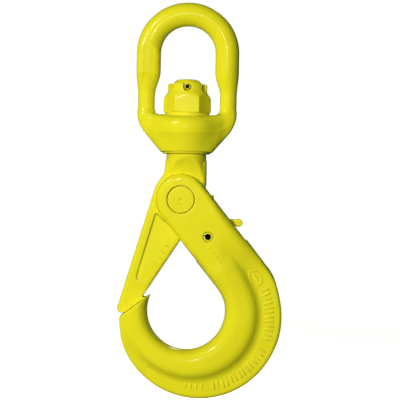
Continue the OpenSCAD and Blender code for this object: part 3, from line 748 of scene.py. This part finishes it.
place(skin("bow_forging", bow_field, (-35, -23.5, -85.5), (35, 23.5, 16.5), h=0.5),
      "bow", "paint", paint, "swivel_bow")
place(skin("latch_forging", latch_field, (-46, -14, -196), (15, 14, -35.5), h=0.48),
      "shank", "paint", paint, "latch_arm")
place(skin("hook_forging", hook_field, (-45, -14.4, -251), (67, 14.4, -99), h=0.6),
      "hook", "paint", paint, "hook_body")
place(skin("castle_nut_painted", nut_field, (-16.5, -14.5, -59), (16.5, 14.5, -38.5), h=0.34),
      "shank", "paint", nut_paint, "castle_nut")
place(skin("trigger_lever", trigger_field, (8, -4.2, -149), (40, 4.2, -113), h=0.36),
      "trigger", "paint", paint, "trigger")
nut_pin_field = rolled_pin_field(NUT_PIN, outer_r=2.05, half=12.8, wall=0.7, slit=0.7, slit_a=75)
nut_pin = place(skin("nut_roll_pin", nut_pin_field, (-2.4, -13, -44.0), (2.4, 13, -39.2), h=0.2),
                "shank", "paint", pin_paint, "nut_spring_pin")
dark_inside(nut_pin, NUT_PIN, r=1.42)
lever_pin_field = rolled_pin_field(PIVOT, outer_r=3.1, half=13.5, wall=1.1, slit=0.8, slit_a=155)
lever_pin = place(skin("trigger_roll_pin", lever_pin_field, (12.3, -13.7, -144.8),
                       (18.9, 13.7, -138.2), h=0.25), "hook", "paint", pin_paint, "trigger_pin")
dark_inside(lever_pin, PIVOT, r=2.08)

# One end of the load pin: radius, distance in from the cheek's face, rounding. It has a centre
# dimple, two shallow rings and a relief at the rim, which shows as a dark line round the pin.
PIN_END = ((0, 0.7, 0), (0.9, 0.25, 0.3), (1.3, 0, 0.2), (3.4, 0, 0.1), (3.6, 0.08, 0.1),
           (3.9, 0.08, 0.1), (4.1, 0, 0.1), (6.6, 0, 0.1), (6.8, 0.06, 0.1), (7.0, 0, 0.1),
           (8.55, 0.05, 0.15), (8.84, 0.35, 0.1), (8.84, 2.5, 0.1), (PIN_R - 0.15, 2.7, 0.1))
pin_profile = [(r, inset - CHEEK_HALF, corner) for r, inset, corner in PIN_END]
pin_profile += [(r, CHEEK_HALF - inset, corner) for r, inset, corner in reversed(PIN_END)]
place(lathe("load_pin_turned", pin_profile, PIN, across=True),
      "hook", "paint", pin_paint, "load_pin")


# ---------------------------------------------------------------- bearing, bush, seal and spring

def groove(direction, z_face):
    """Points of a race's ball groove, from the inner edge to the outer."""
    count = 9
    reach = math.sqrt(GROOVE_R ** 2 - (z_face - BALL_Z) ** 2)
    start = math.atan2(abs(z_face - BALL_Z), reach)
    return [(BALL_RING + GROOVE_R * math.cos(t), BALL_Z + direction * GROOVE_R * math.sin(t), 0)
            for t in np.linspace(math.pi - start, start, count)]


upper = ([(10.02, RACE_TOP, 0.35), (10.02, UPPER_FACE, 0.35)] + groove(1, UPPER_FACE)
         + [(RACE_R, UPPER_FACE, 0.35), (RACE_R, RACE_TOP, 0.5)])
place(lathe("upper_race_turned", upper), "shank", "steel", nut_paint, "bearing_upper_race")
lower = ([(STEM_GAP_R, RACE_FLOOR, 0.35), (STEM_GAP_R, LOWER_FACE, 0.35)] + groove(-1, LOWER_FACE)
         + [(RACE_R, LOWER_FACE, 0.35), (RACE_R, RACE_FLOOR, 0.35)])
place(lathe("lower_race_turned", lower), "bow", "steel", ground_steel, "bearing_lower_race")
bush = [(10.05, BOSS_Z, 0.5), (BUSH_R, BOSS_Z, 0.5),
        (BUSH_R, BUSH_TOP, 0.4), (10.05, BUSH_TOP, 0.4)]
place(lathe("bush_turned", bush), "bow", "bush", bronze, "swivel_bush")
seal = [(STEM_GAP_R, -86.1, 0.1), (16.2, -86.1, 0.2), (15.9, -85.7, 0.1), (16.2, -85.3, 0.1),
        (16.2, -85.02, 0.05), (STEM_GAP_R, -85.02, 0.05)]
place(lathe("seal_lip", seal), "bow", "paint", nut_paint, "seal_ring")


def spring_path():
    """The torsion spring's line: a leg along the pawl, the coil, and a tail on the hook."""
    gap, pitch, coil_steps, leg_steps, tail_length = 0.15, 1.06 * WIRE_D, 90, 8, 14
    coil_y = TRIGGER_HALF + gap + WIRE_D / 2
    coil = []
    for i in range(coil_steps + 1):
        turn = TURNS * i / coil_steps
        a = 2 * math.pi * turn
        coil.append(np.array([COIL_R * math.cos(a), coil_y + pitch * turn, -COIL_R * math.sin(a)]))
    legs = [np.array([5.8, 3.0, 20.6]), np.array([5.95, 3.75, 19.4]), np.array([6.1, coil_y, 17.6])]
    down = legs[-1] + np.outer(np.linspace(0.1, 0.96, leg_steps), coil[0] - legs[-1])
    end_a = 2 * math.pi * TURNS
    tail_way = [-tail_length * math.sin(end_a), 0, -tail_length * math.cos(end_a)]
    tail = coil[-1] + np.outer(np.linspace(0.05, 1, leg_steps), tail_way)
    return np.concatenate([legs, down, coil, tail]) + [PIVOT[0], 0, PIVOT[1]]


spring = wire("trigger_spring_coil", spring_path(), WIRE_D / 2)
spring.data.materials.append(spring_steel)
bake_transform(spring)
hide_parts("trigger_spring")

# Plain raised marks on both faces. Along the flange: bars in pairs, single bars, and an oval
# ring with one bar in it. On the cheek and in the latch's panel: a short row of bars each.
MARK_R, PAIR_HALF_A, OVAL_AT, OVAL_A = 46.9, 1.75, (48.0, -168.4), -50
pair_angles = [21.5 - 7.46 * i for i in range(6)] + [-28.8 - 7.83 * i for i in range(7)]
single_angles = [-87.0 - 4.6 * i for i in range(4)]
flange_strokes, cheek_strokes, panel_strokes = [], [], []
for side in (-1, 1):
    for angle in pair_angles:
        for shift in (-PAIR_HALF_A, PAIR_HALF_A):
            spot = add(BACK, unit(angle + shift), MARK_R)
            flange_strokes.append((bar_stroke(spot, 4.9, angle), 1.5, 0.8, side))
    for angle in single_angles:
        spot = add(BACK, unit(angle), MARK_R - 0.4)
        flange_strokes.append((bar_stroke(spot, 3.4, angle), 1.0, 0.55, side))
    flange_strokes.append((oval_stroke(OVAL_AT, 10.8, 7.0, OVAL_A), 0.8, 0.55, side))
    flange_strokes.append((bar_stroke(OVAL_AT, 5.0, OVAL_A), 1.6, 0.55, side))
    for i in range(4):
        odd = i % 2
        spot = add(add(PIN, unit(BAR_A), 37.0 + 4.0 * i), unit(BAR_A + 90), -4.6 - 0.5 * odd)
        cheek_strokes.append((bar_stroke(spot, 1.6, BAR_A + 60 * odd), 0.9, 0.35, side))
        spot = add(add(THROAT_TOP, unit(THROAT_A), 31.0 + 4.6 * i), THROAT_IN, 6.6)
        panel_strokes.append((bar_stroke(spot, 4.4, THROAT_A - 90), 1.1, 0.5, side))
place(raised_marks("flange_marks", hook_field, flange_strokes), "hook", "paint", paint)
place(raised_marks("cheek_marks", hook_field, cheek_strokes), "hook", "paint", paint)
place(raised_marks("latch_marks", latch_field, panel_strokes), "shank", "paint", paint)
nut_strokes = [(bar_stroke((x, z), length, turn), 1.0, 0.3, -1)
               for x, z, length, turn in ((-2.6, -51.6, 3.2, 70), (1.6, -50.9, 3.0, 0),
                                          (1.8, -53.2, 2.6, 20))]
place(raised_marks("nut_marks", nut_field, nut_strokes), "shank", "paint", nut_paint)

# The cage and the balls keep the CAD's own meshes
for name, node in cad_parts.items():
    if node.hide_render:
        continue
    node.data.materials.clear()
    node.data.materials.append(brass if name == "bearing_cage" else ground_steel)
    smooth_faces(node.data)


# ---------------------------------------------------------------- floor, light, camera: in metres

def backdrop():
    """A pale round floor that curves up into a wall and closes overhead."""
    floor_z, wall_r, cove, wall_top, step = -0.42, 2.6, 0.6, 2.0, 6
    eaves, roof = (0.8 * wall_r, 2.6), (0.0, 2.8)
    line = [(0.0, floor_z), (wall_r - cove, floor_z)]
    line += [add((wall_r - cove, floor_z + cove), unit(a - 90), cove)
             for a in range(step, 90, step)]
    line += [(wall_r, floor_z + cove), (wall_r, wall_top), eaves, roof]
    turns = [unit(a) for a in range(0, 360, step)]
    co = [(r * c, r * s, z) for r, z in line for c, s in turns]
    obj = mesh_object("studio_floor", np.array(co), strip_quads(len(line), len(turns), False))
    m = Nodes("studio_white")
    tone = m.ramp(m.noise(scale=1.5, detail=1.0), (0.2, 0.93), (0.8, 0.96))
    obj.data.materials.append(m.finish(Base_Color=tone, Roughness=0.9,
                                       Emission_Color=(1.0, 1.0, 1.0), Emission_Strength=0.9))
    obj.visible_diffuse = False
    obj.visible_glossy = False


backdrop()

AIM, WHITE, WARM = Vector((0.0, 0.0, -0.115)), (1, 1, 1), (1.0, 0.915, 0.9)
# Name, watts, diameter, azimuth, elevation, distance, colour and whether reflections show it
for name, energy, size, azimuth, elevation, distance, colour, glossy in (
        ("key", 2.0, 0.13, -44, 40, 1.2, WHITE, True),
        ("glint", 0.55, 0.06, -4, 13, 1.0, WHITE, True),
        ("rear_glint", 0.4, 0.15, 170, 24, 1.2, WHITE, True),
        ("front", 8.9, 0.3, -22, 4, 1.0, WARM, False),
        ("rear", 15.0, 0.9, 180, 12, 1.8, WARM, False),
        ("rear_right", 7.5, 0.9, 145, 8, 1.8, WARM, False),
        ("rear_left", 9.0, 0.9, -130, 8, 1.8, WARM, False)):
    light = bpy.data.lights.new(name, "AREA")
    light.shape = "DISK"
    light.energy, light.size, light.color = energy, size, colour
    lamp = linked(name, light)
    a, e = math.radians(azimuth), math.radians(elevation)
    away = Vector((math.sin(a) * math.cos(e), -math.cos(a) * math.cos(e), math.sin(e)))
    lamp.location = AIM + away * distance
    lamp.rotation_euler = (-away).to_track_quat("-Z", "Y").to_euler()
    lamp.visible_glossy = glossy

# A weak green-tinted surround, which gives the paint's shaded sides their olive tone
world = bpy.data.worlds.new("studio")
bpy.context.scene.world = world
world.use_nodes = True
surround = world.node_tree.nodes["Background"].inputs
surround["Color"].default_value = (0.45, 1.0, 0.4, 1)
surround["Strength"].default_value = 0.075

# The camera looks level and straight at the front, with a slight roll (these four are in mm)
VIEW_WIDTH, VIEW_X, VIEW_Z, DISTANCE = 270.0, 9.8, -117.0, 870.0
SENSOR, ROLL_A = 36.0, 1.1
camera_data = bpy.data.cameras.new("camera")
camera_data.lens = SENSOR * DISTANCE / VIEW_WIDTH
camera_data.sensor_width = SENSOR
camera_data.clip_start, camera_data.clip_end = 0.05, 20.0
camera = linked("camera", camera_data)
camera.matrix_world = (Matrix.Translation(Vector((VIEW_X, -DISTANCE, VIEW_Z)) * MM)
                       @ Matrix.Rotation(math.radians(90), 4, "X")
                       @ Matrix.Rotation(math.radians(ROLL_A), 4, "Z"))
bpy.context.scene.camera = camera
bpy.context.scene.view_settings.view_transform = "Standard"
